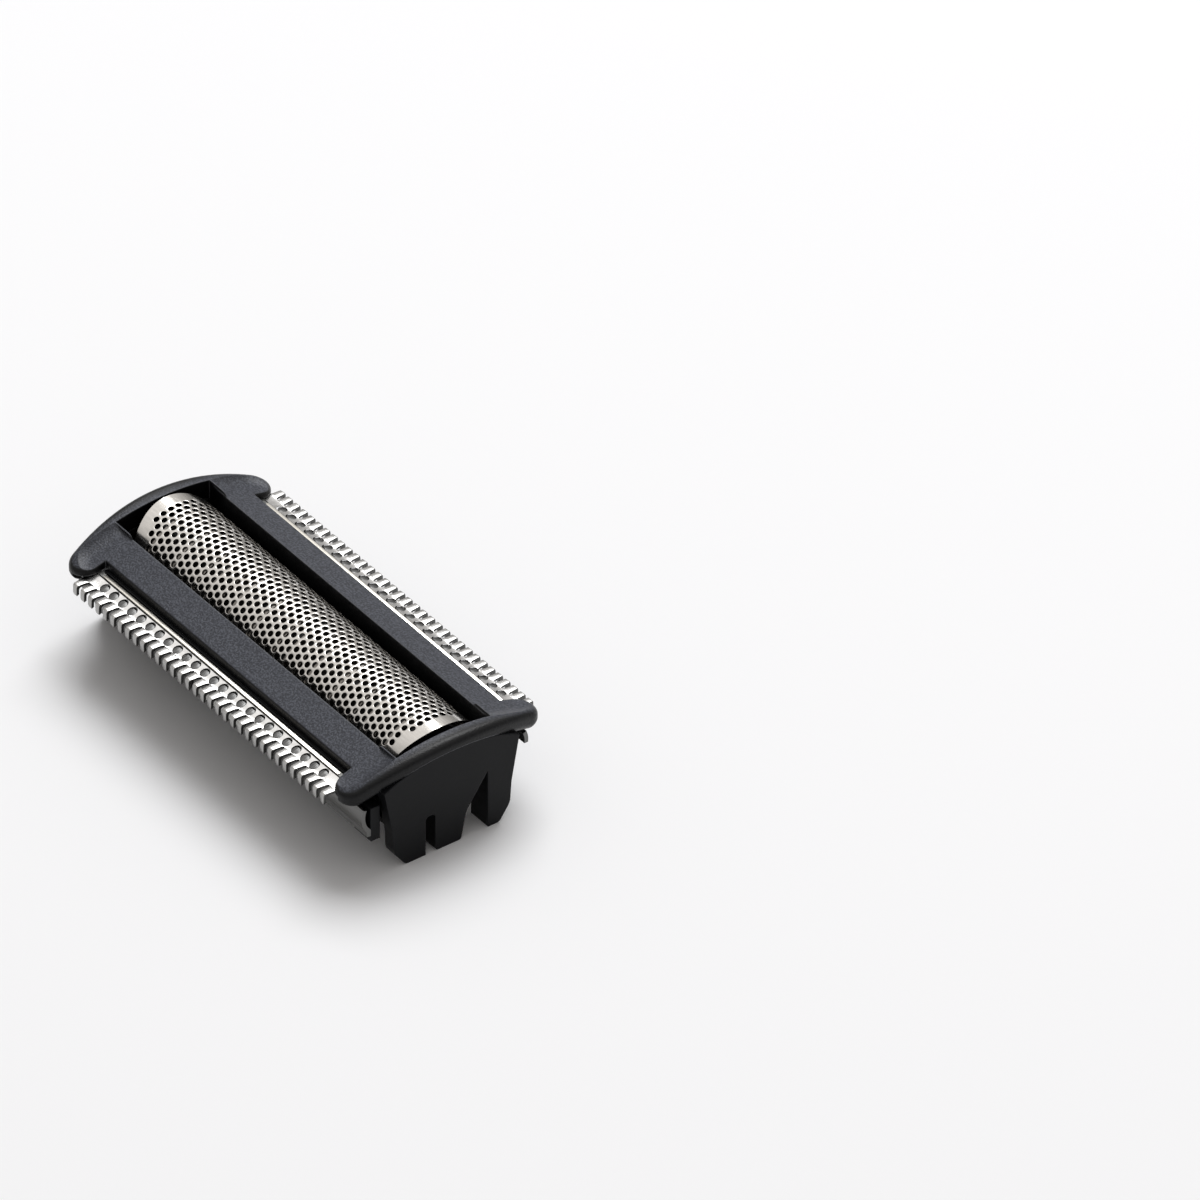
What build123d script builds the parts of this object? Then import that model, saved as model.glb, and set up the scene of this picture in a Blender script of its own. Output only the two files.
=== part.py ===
"""Foil head of a body shaver: frame, arched foil, trimmer combs, cutters and snap-on chassis.

X runs along the foil, Y across it and Z up. The origin is on the ground, under the middle of the head,
and the head stands on its leg tips. All sizes are in millimetres.
"""

import os
from math import atan2, cos, degrees, radians, sin, sqrt, tan

from build123d import *

os.makedirs("parts", exist_ok=True)

# Frame: window, rails and wings
head_length = 46.0
wing_span = 21.7
wing_bow_radius = 41.0
wing_tip_radius = 1.6
wing_arch_radius = 24.3
wing_crown_rise = 0.96
wing_thickness = 2.0
wing_edge_round = 0.7
wing_under_round = 0.9
wing_lip_radius = 16.5
wing_lip_drop = 1.06
wing_lip_depth = 1.05
window_rim = 1.6
window_width = 10.4
rail_edge_z = 10.8
rail_width = 3.08
rail_slope = 17.0
rail_seat_z = 8.9
rail_edge_round = 0.2
cove_radius = 3.0
cove_corner_radius = 4.0
cove_reach = 7.4
frame_wall = 1.0
frame_wall_bottom = 6.0
peg_diameter = 0.7
peg_height = 0.35
peg_pitch = 16.0
peg_rise = 0.4

# Foil
foil_thickness = 0.08
foil_rise = 1.2
foil_end_gap = 0.5
foil_end_radius = 8.8
foil_seat_clearance = 0.02
foil_skirt_gap = 0.05
bare_end = 1.7
hole_column_pitch = 1.74
hole_row_pitch = 2.1
hole_size = 1.2
hole_sides = 4
hole_rows = 6
peg_hole_clearance = 0.1

# Trimmer combs and their brackets
comb_sheet = 0.35
comb_slope = 8.0
tooth_pitch = 1.39
tooth_width = 0.87
tooth_taper = 0.1
comb_inner_y = 8.5
slot_start_y = 9.25
slot_start_drop = 1.92
comb_bend_y = 11.65
comb_tip_inset = 0.2
comb_tip_drop = 3.56
comb_bend_cut = 0.5
comb_flange_cut = 0.3
comb_flange_height = 1.74
comb_flange_inset = 0.7
comb_end_inset = 1.2
comb_ear_overhang = 1.0
comb_ear_width = 1.7
comb_ear_clearance = 0.03
hem_width = 0.42
hem_thickness = 0.15
hem_inset = 1.3
hem_slot_gap = 0.06
bracket_sheet = 0.4
bracket_overrun = 0.6
bracket_short_end = 0.2
bracket_foot_end_gap = 1.9
bracket_top_z = 7.3
bracket_stand_off = 0.45
bracket_bulge = 0.14
bracket_foot_z = 4.3
bracket_foot_height = 0.7

# Moving trimmer blades
blade_sheet = 0.3
blade_gap = 0.05
blade_teeth_fewer = 3
blade_tooth_width = 0.75
blade_tooth_taper = 0.17
blade_back_gap = 0.15
blade_root_length = 0.83
blade_tip_clearance = 0.75
blade_tab_width = 5.0
blade_tab_gap = 0.08
blade_tab_depth = 0.7

# Cutter under the foil
cutter_end_margin = 1.35
cutter_pitch = 1.7
cutter_sheet = 0.25
cutter_foil_gap = 0.13
cutter_depth = 1.57
cutter_seat_sides = 8
cutter_foot_rise = 1.3
carrier_grip = 0.5
carrier_end_gap = 2.2
carrier_bottom_z = 7.4
cutter_slot_clearance = 0.02

# Drive bridge and lift springs
stroke = 1.0
float_travel = 0.6
bridge_length = 23.0
bridge_width = 7.2
bridge_thickness = 0.9
bridge_gap = 0.05
arm_width = 7.2
arm_overhang = 0.35
hub_length = 8.0
hub_width = 6.4
hub_top_gap = 0.2
drive_slot_width = 2.6
drive_slot_length = 5.0
drive_slot_roof = 0.7
tab_fit = 0.05
post_spacing = 18.0
post_diameter = 1.5
post_clearance = 0.1
post_top_gap = 0.2
spring_wire = 0.3
spring_mean_diameter = 2.2
spring_turns = 4
spring_chords = 12
spring_wire_sides = 6
spring_pocket_depth = 1.7
spring_pocket_clearance = 0.3
spring_end_gap = 0.02

# Chassis
floor_bottom_z = 4.3
floor_thickness = 0.6
side_wall = 1.0
side_wall_inset = 0.6
side_wall_end_gap = 1.4
side_wall_low_z = 7.3
end_wall_inset = 0.3
end_wall_top_gap = 0.05
end_half_width_top = 7.45
end_half_width_waist = 6.56
end_waist_z = 4.0
leg_half_width = 6.4
leg_shoulder_z = 1.7
leg_tip_half_width = 5.2
leg_depth = 2.6
leg_side_depth = 1.3
leg_back_start_y = 4.2
waist_round = 3.0
leg_shoulder_round = 1.5
leg_tip_round = 0.6
wide_notch_y = 3.95
wide_notch_z = 6.4
narrow_notch_y = 2.95
narrow_notch_width = 1.1
narrow_notch_z = 4.2
narrow_notch_round = 0.4
tongue_hip_y = 1.55
tongue_hip_z = 2.9
tongue_hip_round = 2.0
tongue_tip_y = 0.95
tongue_tip_round = 0.3
catch_height = 0.5
catch_z = 1.5
catch_half_width = 0.9
corner_rib_bottom_z = 3.65
corner_rib_length = 2.5
run_clearance = 0.3

# Worked out from the driving dimensions
half_window_x = head_length / 2 - window_rim
window_length = 2 * half_window_x
half_window_y = window_width / 2
rail_outer_y = half_window_y + rail_width
rail_outer_z = rail_edge_z - rail_width * tan(radians(rail_slope))
wing_crown_z = rail_edge_z + wing_crown_rise
wing_arch_centre_z = wing_crown_z - wing_arch_radius
wing_under_radius = wing_arch_radius - wing_thickness
wing_bow_centre_x = head_length / 2 - wing_bow_radius
wing_tip_y = wing_span / 2 - wing_tip_radius
wing_tip_x = wing_bow_centre_x + sqrt((wing_bow_radius - wing_tip_radius) ** 2 - wing_tip_y**2)
wing_arm_x = wing_tip_x - wing_tip_radius
tip_tangent = degrees(atan2(wing_tip_y, wing_tip_x - wing_bow_centre_x))
lip_centre_z = wing_crown_z - wing_lip_drop - wing_lip_radius
lip_start_x = head_length / 2 - wing_lip_depth

foil_length = window_length - 2 * foil_end_gap
foil_radius = half_window_y - foil_seat_clearance
foil_axis_z = rail_edge_z + foil_rise - foil_radius
peg_z = frame_wall_bottom + peg_rise
peg_xs = [-peg_pitch, 0, peg_pitch]

slot_start_z = rail_edge_z - slot_start_drop
comb_fall = tan(radians(comb_slope))
comb_bend_z = slot_start_z - (comb_bend_y - slot_start_y) * comb_fall
comb_inner_z = slot_start_z + (slot_start_y - comb_inner_y) * comb_fall
comb_tip_z = rail_edge_z - comb_tip_drop
comb_ear_length = window_length - 2 * comb_end_inset
tooth_room = comb_ear_length - 2 * comb_ear_overhang
comb_teeth = round((tooth_room - tooth_width) / tooth_pitch) + 1
comb_length = (comb_teeth - 1) * tooth_pitch + tooth_width
wall_outer_y = comb_inner_y
wall_inner_y = wall_outer_y - side_wall

floor_top_z = floor_bottom_z + floor_thickness
bridge_bottom_z = floor_top_z + bridge_gap
bridge_top_z = bridge_bottom_z + bridge_thickness
hub_top_z = carrier_bottom_z - float_travel - hub_top_gap
tab_inner_y = wall_outer_y + blade_tab_gap
tab_outer_y = tab_inner_y + blade_sheet
arm_end_y = tab_outer_y + arm_overhang
end_wall_outer_x = head_length / 2 - end_wall_inset
cutter_radius = foil_radius - foil_thickness - cutter_foil_gap
cutter_inner_radius = cutter_radius - cutter_depth
cutter_seat_turn = 180 / cutter_seat_sides
post_top_z = foil_axis_z + cutter_inner_radius - float_travel - post_top_gap
carrier_radius = cutter_radius - cutter_depth + carrier_grip
arm_room = arm_width + 2 * (stroke + run_clearance)
tab_room = blade_tab_width + 2 * (stroke + run_clearance)

rail_plane = Plane(
    origin=(0, half_window_y, rail_edge_z),
    x_dir=(1, 0, 0),
    z_dir=(0, sin(radians(rail_slope)), cos(radians(rail_slope))),
)
comb_plane = Plane(
    origin=(0, slot_start_y, slot_start_z),
    x_dir=(1, 0, 0),
    z_dir=(0, sin(radians(comb_slope)), cos(radians(comb_slope))),
)


# Cove tool: clears the top of a rail and sweeps up to the wings' ridges in a round cove
ridge_z = wing_arch_centre_z + sqrt(wing_arch_radius**2 - half_window_y**2)
ridge_rise = (ridge_z - rail_edge_z) * cos(radians(rail_slope))
cove_run = cove_radius - sqrt(cove_radius**2 - (cove_radius - ridge_rise) ** 2)
cove_end_x = half_window_x + cove_run
with BuildPart() as cove_tool:
    with BuildSketch(rail_plane) as cove_outline:
        Rectangle(2 * cove_end_x, cove_reach, align=(Align.CENTER, Align.MIN))
        fillet(cove_outline.vertices().sort_by(Axis.Y)[-2:], radius=cove_corner_radius)
    extrude(amount=2 * cove_radius)
    cove_floor = cove_tool.faces().sort_by(Axis.Z)[0]
    fillet(cove_floor.edges().sort_by(Axis.Y)[1:], radius=cove_radius)

# Ear pocket tool: the undercut of the wing tips that the comb's ends lie in
ear_pocket_end = comb_ear_length / 2 + comb_ear_clearance
ear_pocket_start = wing_arm_x - comb_ear_clearance
ear_pocket_x = (ear_pocket_start + ear_pocket_end) / 2
ear_pocket_v = rail_outer_y + wing_tip_radius - slot_start_y
with BuildPart() as ear_pocket_tool:
    with BuildSketch(comb_plane.offset(comb_ear_clearance)):
        with Locations((ear_pocket_x, ear_pocket_v)):
            Rectangle(ear_pocket_end - ear_pocket_start, 2 * wing_tip_radius)
        mirror(about=Plane.YZ)
    extrude(amount=-2 * wing_thickness)

# Top frame: two arched wings on two rails, with an inner wall and foil pegs beside the window
with BuildPart() as top_frame:
    with BuildSketch():
        with BuildLine():
            CenterArc((wing_bow_centre_x, 0), wing_bow_radius, -tip_tangent, 2 * tip_tangent)
            CenterArc((wing_tip_x, wing_tip_y), wing_tip_radius, tip_tangent, 180 - tip_tangent)
            Line((wing_arm_x, wing_tip_y), (wing_arm_x, -wing_tip_y))
            CenterArc((wing_tip_x, -wing_tip_y), wing_tip_radius, 180, 180 - tip_tangent)
        make_face()
        mirror(about=Plane.YZ)
    extrude(amount=wing_crown_z)
    with BuildSketch(Plane.YZ):
        with Locations((0, wing_arch_centre_z)):
            Circle(wing_arch_radius)
            Circle(wing_under_radius, mode=Mode.SUBTRACT)
    extrude(amount=head_length, both=True, mode=Mode.INTERSECT)
    for arch_radius, edge_round in (
        (wing_arch_radius, wing_edge_round),
        (wing_under_radius, wing_under_round),
    ):
        arches = top_frame.faces().filter_by(lambda face: face.radius == arch_radius)
        fillet(arches.edges(), radius=edge_round)
    for side in (-1, 1):
        with BuildSketch(Plane.YZ.offset(side * lip_start_x)):
            with Locations((0, lip_centre_z)):
                Circle(wing_lip_radius)
        extrude(amount=side * wing_lip_depth, mode=Mode.SUBTRACT)
    with BuildSketch(Plane.YZ) as rail_section:
        with BuildLine():
            Polyline(
                (half_window_y, rail_edge_z),
                (rail_outer_y, rail_outer_z),
                (rail_outer_y, rail_seat_z),
                (half_window_y + frame_wall, rail_seat_z),
                (half_window_y + frame_wall, frame_wall_bottom),
                (half_window_y, frame_wall_bottom),
                close=True,
            )
        make_face()
        fillet(rail_section.vertices().sort_by(Axis.X)[-1], radius=rail_edge_round)
        mirror(about=Plane.YZ)
    extrude(amount=half_window_x, both=True)
    with BuildSketch():
        Rectangle(window_length, window_width)
    extrude(amount=2 * wing_crown_z, mode=Mode.SUBTRACT)
    for tool in (cove_tool, ear_pocket_tool):
        add(tool.part, mode=Mode.SUBTRACT)
        add(tool.part.mirror(Plane.XZ), mode=Mode.SUBTRACT)
    for side in (-1, 1):
        with BuildSketch(Plane.XZ.offset(-side * half_window_y)):
            with Locations(*[(x, peg_z) for x in peg_xs]):
                Circle(peg_diameter / 2)
        extrude(amount=side * peg_height)
top_frame.part.label = "top_frame"
export_step(top_frame.part, "parts/top_frame.step")

# Foil: arched sheet with straight skirts, rounded bare ends and a staggered field of holes
foil_skirt_z = frame_wall_bottom + foil_skirt_gap
foil_skirt_y = foil_radius - foil_thickness / 2
hole_columns = int((foil_length - 2 * bare_end) / hole_column_pitch) + 1
hole_row_angle = hole_row_pitch / foil_radius
with BuildPart() as foil:
    with BuildSketch(Plane.YZ):
        with Locations((0, foil_axis_z)):
            Circle(foil_radius)
            Circle(foil_radius - foil_thickness, mode=Mode.SUBTRACT)
        with Locations((0, foil_axis_z - foil_radius)):
            Rectangle(2 * foil_radius, 2 * foil_radius, mode=Mode.SUBTRACT)
        with Locations((foil_skirt_y, foil_axis_z), (-foil_skirt_y, foil_axis_z)):
            Rectangle(foil_thickness, foil_axis_z - foil_skirt_z, align=(Align.CENTER, Align.MAX))
    extrude(amount=foil_length / 2, both=True)
    with BuildSketch():
        with Locations((foil_length / 2 - foil_end_radius, 0), (foil_end_radius - foil_length / 2, 0)):
            Circle(foil_end_radius)
        Rectangle(foil_length - 2 * foil_end_radius, window_width)
    extrude(amount=2 * wing_crown_z, mode=Mode.INTERSECT)
    with BuildSketch(Plane.XZ):
        with Locations(*[(x, peg_z) for x in peg_xs]):
            Circle((peg_diameter + peg_hole_clearance) / 2)
    extrude(amount=window_width, both=True, mode=Mode.SUBTRACT)
    for half_step in (0, 1):
        columns = [
            (column - (hole_columns - 1) / 2) * hole_column_pitch
            for column in range(half_step, hole_columns, 2)
        ]
        for row in range(hole_rows - half_step):
            turn = (row - (hole_rows - half_step - 1) / 2) * hole_row_angle
            outward = Plane(origin=(0, 0, foil_axis_z), x_dir=(1, 0, 0), z_dir=(0, sin(turn), cos(turn)))
            with BuildSketch(outward.offset(cutter_radius)):
                with Locations(*[(x, 0) for x in columns]):
                    RegularPolygon(hole_size / 2, hole_sides, major_radius=False)
    extrude(amount=2 * (foil_radius - cutter_radius), mode=Mode.SUBTRACT)
foil.part.label = "foil"
export_step(foil.part, "parts/foil.step")

# Combs: one folded sheet each, with an inner flange, a hemmed edge and hooked teeth
slot_centres = [(slot - (comb_teeth - 2) / 2) * tooth_pitch for slot in range(comb_teeth - 1)]
slot_length = comb_bend_y + comb_sheet - slot_start_y
slot_outer_width = tooth_pitch - tooth_width + tooth_taper
slot_angle = degrees(atan2(slot_length, tooth_taper))
ear_outer_y = comb_inner_y + comb_ear_width
flange_cut = comb_sheet + blade_back_gap
comb_flange_length = comb_length - 2 * comb_flange_inset
with BuildPart() as comb_rear:
    with BuildSketch(Plane.YZ):
        with BuildLine():
            Polyline(
                (comb_inner_y, comb_inner_z - comb_flange_height),
                (comb_inner_y, comb_inner_z - comb_flange_cut),
                (comb_inner_y + comb_flange_cut, comb_inner_z - comb_flange_cut * comb_fall),
                (comb_bend_y - comb_bend_cut, comb_bend_z + comb_bend_cut * comb_fall),
                (comb_bend_y, comb_bend_z - comb_bend_cut),
                (comb_bend_y - comb_tip_inset, comb_tip_z),
            )
            offset(amount=comb_sheet, side=Side.RIGHT, kind=Kind.INTERSECTION)
        make_face()
    extrude(amount=comb_ear_length / 2, both=True)
    with BuildSketch() as comb_cuts:
        with Locations(*[(x, slot_start_y + slot_length / 2) for x in slot_centres]):
            Trapezoid(slot_outer_width, slot_length, slot_angle, rotation=180)
        with Locations(((comb_length + comb_ear_length) / 4, ear_outer_y + slot_length / 2)):
            end_trim = Rectangle((comb_ear_length - comb_length) / 2, slot_length)
        mirror(end_trim, about=Plane.YZ)
        with Locations((0, comb_inner_y + flange_cut / 2)):
            Rectangle(tab_room, flange_cut)
        with Locations(((comb_flange_length + comb_ear_length) / 4, comb_inner_y + flange_cut / 2)):
            flange_trim = Rectangle((comb_ear_length - comb_flange_length) / 2, flange_cut)
        mirror(flange_trim, about=Plane.YZ)
    extrude(amount=2 * wing_crown_z, mode=Mode.SUBTRACT)
    with BuildSketch(comb_plane):
        with Locations((0, -hem_slot_gap - hem_width / 2)):
            Rectangle(comb_length - 2 * hem_inset, hem_width)
    extrude(amount=hem_thickness)
comb_rear.part.label = "comb_rear"
export_step(comb_rear.part, "parts/comb_rear.step")
with BuildPart() as comb_front:
    add(comb_rear.part.mirror(Plane.XZ))
comb_front.part.label = "comb_front"
export_step(comb_front.part, "parts/comb_front.step")

# Comb brackets: bowed sheet skirts, with a foot on the chassis wall and a gate for the drive arm
bracket_knee_z = bracket_foot_z + bracket_foot_height
bracket_top_y = wall_outer_y + bracket_stand_off
bracket_cut_z = (bracket_knee_z + bracket_top_z) / 2
gate_top_z = bridge_top_z + run_clearance
with BuildPart() as comb_bracket_rear:
    with BuildSketch(Plane.YZ) as bracket_section:
        with BuildLine():
            Line((wall_outer_y, bracket_foot_z), (wall_outer_y, bracket_knee_z))
            ThreePointArc(
                (wall_outer_y, bracket_knee_z),
                (bracket_top_y + bracket_bulge, (bracket_knee_z + bracket_top_z) / 2),
                (bracket_top_y, bracket_top_z),
            )
            offset(amount=bracket_sheet, side=Side.RIGHT)
        make_face()
    extrude(amount=half_window_x - bracket_short_end)
    extrude(bracket_section.sketch, amount=half_window_x + bracket_overrun, dir=(-1, 0, 0))
    with BuildSketch(Plane.XZ):
        with Locations((0, gate_top_z / 2)):
            Rectangle(arm_room, gate_top_z)
        with Locations((half_window_x - bracket_foot_end_gap, 0)):
            Rectangle(window_rim + bracket_foot_end_gap, bracket_cut_z, align=(Align.MIN, Align.MIN))
    extrude(amount=-2 * wing_span, mode=Mode.SUBTRACT)
comb_bracket_rear.part.label = "comb_bracket_rear"
export_step(comb_bracket_rear.part, "parts/comb_bracket_rear.step")
with BuildPart() as comb_bracket_front:
    add(comb_bracket_rear.part.rotate(Axis.Z, 180))
comb_bracket_front.part.label = "comb_bracket_front"
export_step(comb_bracket_front.part, "parts/comb_bracket_front.step")

# Trimmer blades: flat toothed sheets under the combs, each with a tab down to the drive arm
blade_drop = comb_sheet + blade_gap + blade_sheet
blade_back_v = (comb_inner_y + comb_sheet + blade_back_gap - slot_start_y) / cos(radians(comb_slope))
blade_back_v = blade_back_v + blade_drop * comb_fall
blade_root_v = blade_back_v + blade_root_length
blade_tip_v = (comb_bend_y - comb_sheet - blade_tip_clearance - slot_start_y) / cos(radians(comb_slope))
tab_v = (tab_inner_y - slot_start_y) / cos(radians(comb_slope)) + blade_drop * comb_fall
blade_half_drop = (blade_drop - blade_sheet / 2) / cos(radians(comb_slope))
tab_top_z = slot_start_z + (slot_start_y - tab_outer_y) * comb_fall - blade_half_drop
tab_bottom_z = bridge_top_z - blade_tab_depth
blade_tooth_angle = degrees(atan2(blade_tip_v - blade_root_v, blade_tooth_taper))
blade_teeth = comb_teeth - blade_teeth_fewer
blade_length = (blade_teeth - 1) * tooth_pitch + blade_tooth_width
with BuildPart() as trimmer_blade_rear:
    with BuildSketch(comb_plane.offset(-blade_drop)):
        with Locations((0, (blade_back_v + blade_root_v) / 2)):
            Rectangle(blade_length, blade_root_v - blade_back_v)
        with Locations((0, (blade_root_v + blade_tip_v) / 2)):
            with GridLocations(tooth_pitch, tooth_pitch, blade_teeth, 1):
                Trapezoid(blade_tooth_width, blade_tip_v - blade_root_v, blade_tooth_angle)
        with Locations((0, (tab_v + blade_back_v) / 2)):
            Rectangle(blade_tab_width, blade_back_v - tab_v)
    extrude(amount=blade_sheet)
    with BuildSketch(Plane.YZ):
        with Locations(((tab_inner_y + tab_outer_y) / 2, (tab_bottom_z + tab_top_z) / 2)):
            Rectangle(blade_sheet, tab_top_z - tab_bottom_z)
    extrude(amount=blade_tab_width / 2, both=True)
trimmer_blade_rear.part.label = "trimmer_blade_rear"
export_step(trimmer_blade_rear.part, "parts/trimmer_blade_rear.step")
with BuildPart() as trimmer_blade_front:
    add(trimmer_blade_rear.part.mirror(Plane.XZ))
trimmer_blade_front.part.label = "trimmer_blade_front"
export_step(trimmer_blade_front.part, "parts/trimmer_blade_front.step")

# Cutter blades: thin arched sheets that sweep the inside of the foil, on a faceted seat
carrier_length = window_length - 2 * carrier_end_gap
cutter_count = round((carrier_length - 2 * cutter_end_margin) / cutter_pitch) + 1
cutter_xs = [(blade - (cutter_count - 1) / 2) * cutter_pitch for blade in range(cutter_count)]
cutter_foot_z = foil_axis_z + cutter_foot_rise
for number, x in enumerate(cutter_xs, start=1):
    with BuildPart() as cutter_blade:
        with BuildSketch(Plane.YZ.offset(x)):
            with Locations((0, foil_axis_z)):
                Circle(cutter_radius)
                RegularPolygon(
                    cutter_inner_radius,
                    cutter_seat_sides,
                    major_radius=False,
                    rotation=cutter_seat_turn,
                    mode=Mode.SUBTRACT,
                )
            with Locations((0, cutter_foot_z - cutter_radius)):
                Rectangle(2 * cutter_radius, 2 * cutter_radius, mode=Mode.SUBTRACT)
        extrude(amount=cutter_sheet / 2, both=True)
    cutter_blade.part.label = f"cutter_blade_{number:02d}"
    export_step(cutter_blade.part, f"parts/cutter_blade_{number:02d}.step")

# Cutter carrier: faceted bar, slotted for the blades and bored for the posts and springs
cutter_slot_width = cutter_sheet + cutter_slot_clearance
post_xs = [-post_spacing / 2, post_spacing / 2]
spring_pocket_diameter = spring_mean_diameter + spring_wire + spring_pocket_clearance
with BuildPart() as cutter_carrier:
    with BuildSketch(Plane.YZ):
        with Locations((0, foil_axis_z)):
            RegularPolygon(carrier_radius, cutter_seat_sides, major_radius=False, rotation=cutter_seat_turn)
        with Locations((0, carrier_bottom_z - cutter_radius)):
            Rectangle(2 * cutter_radius, 2 * cutter_radius, mode=Mode.SUBTRACT)
    extrude(amount=carrier_length / 2, both=True)
    for x in cutter_xs:
        with BuildSketch(Plane.YZ.offset(x - cutter_slot_width / 2)):
            with Locations((0, foil_axis_z)):
                Circle(cutter_radius)
                RegularPolygon(
                    cutter_inner_radius - cutter_slot_clearance,
                    cutter_seat_sides,
                    major_radius=False,
                    rotation=cutter_seat_turn,
                    mode=Mode.SUBTRACT,
                )
            with Locations((0, cutter_foot_z - cutter_slot_clearance - cutter_radius)):
                Rectangle(2 * cutter_radius, 2 * cutter_radius, mode=Mode.SUBTRACT)
    extrude(amount=cutter_slot_width, mode=Mode.SUBTRACT)
    with BuildSketch(Plane.XY.offset(carrier_bottom_z)):
        with Locations(*[(x, 0) for x in post_xs]):
            Circle(post_diameter / 2 + post_clearance)
    extrude(amount=wing_crown_z, mode=Mode.SUBTRACT)
    with BuildSketch(Plane.XY.offset(carrier_bottom_z)):
        with Locations(*[(x, 0) for x in post_xs]):
            Circle(spring_pocket_diameter / 2)
    extrude(amount=spring_pocket_depth, mode=Mode.SUBTRACT)
cutter_carrier.part.label = "cutter_carrier"
export_step(cutter_carrier.part, "parts/cutter_carrier.step")

# Drive bridge: slider with a cross slot for the handle's pin, two posts and two trimmer arms
with BuildPart() as drive_bridge:
    with BuildSketch(Plane.XY.offset(bridge_bottom_z)):
        Rectangle(bridge_length, bridge_width)
        Rectangle(arm_width, 2 * arm_end_y)
    extrude(amount=bridge_thickness)
    with BuildSketch(Plane.XY.offset(floor_bottom_z)):
        Rectangle(hub_length, hub_width)
    extrude(amount=hub_top_z - floor_bottom_z)
    with BuildSketch(Plane.XY.offset(floor_bottom_z)):
        Rectangle(drive_slot_width, drive_slot_length)
    extrude(amount=hub_top_z - drive_slot_roof - floor_bottom_z, mode=Mode.SUBTRACT)
    with BuildSketch(Plane.XY.offset(bridge_bottom_z)):
        with Locations((0, (tab_inner_y + tab_outer_y) / 2), (0, -(tab_inner_y + tab_outer_y) / 2)):
            Rectangle(blade_tab_width + 2 * tab_fit, blade_sheet + 2 * tab_fit)
    extrude(amount=bridge_thickness, mode=Mode.SUBTRACT)
    with BuildSketch(Plane.XY.offset(bridge_top_z)):
        with Locations(*[(x, 0) for x in post_xs]):
            Circle(post_diameter / 2)
    extrude(amount=post_top_z - bridge_top_z)
drive_bridge.part.label = "drive_bridge"
export_step(drive_bridge.part, "parts/drive_bridge.step")

# Lift springs: coils around the posts, between the bridge and the carrier's pockets, drawn in chords
spring_bottom_z = bridge_top_z + spring_end_gap + spring_wire / 2
spring_top_z = carrier_bottom_z + spring_pocket_depth - spring_end_gap - spring_wire / 2
spring_step = (spring_top_z - spring_bottom_z) / (spring_turns * spring_chords)
for name, x in zip(("lift_spring_left", "lift_spring_right"), post_xs):
    coil_points = []
    for step in range(spring_turns * spring_chords + 1):
        turn = radians(360 * step / spring_chords)
        across = Vector(cos(turn), sin(turn)) * spring_mean_diameter / 2
        coil_points.append(Vector(x, 0, spring_bottom_z + step * spring_step) + across)
    with BuildPart() as lift_spring:
        with BuildLine() as coil:
            Polyline(*coil_points)
        with BuildSketch(Plane(origin=coil.line @ 0, z_dir=coil.line % 0)):
            RegularPolygon(spring_wire / 2, spring_wire_sides)
        sweep(path=coil.line, transition=Transition.RIGHT)
    lift_spring.part.label = name
    export_step(lift_spring.part, f"parts/{name}.step")

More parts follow.
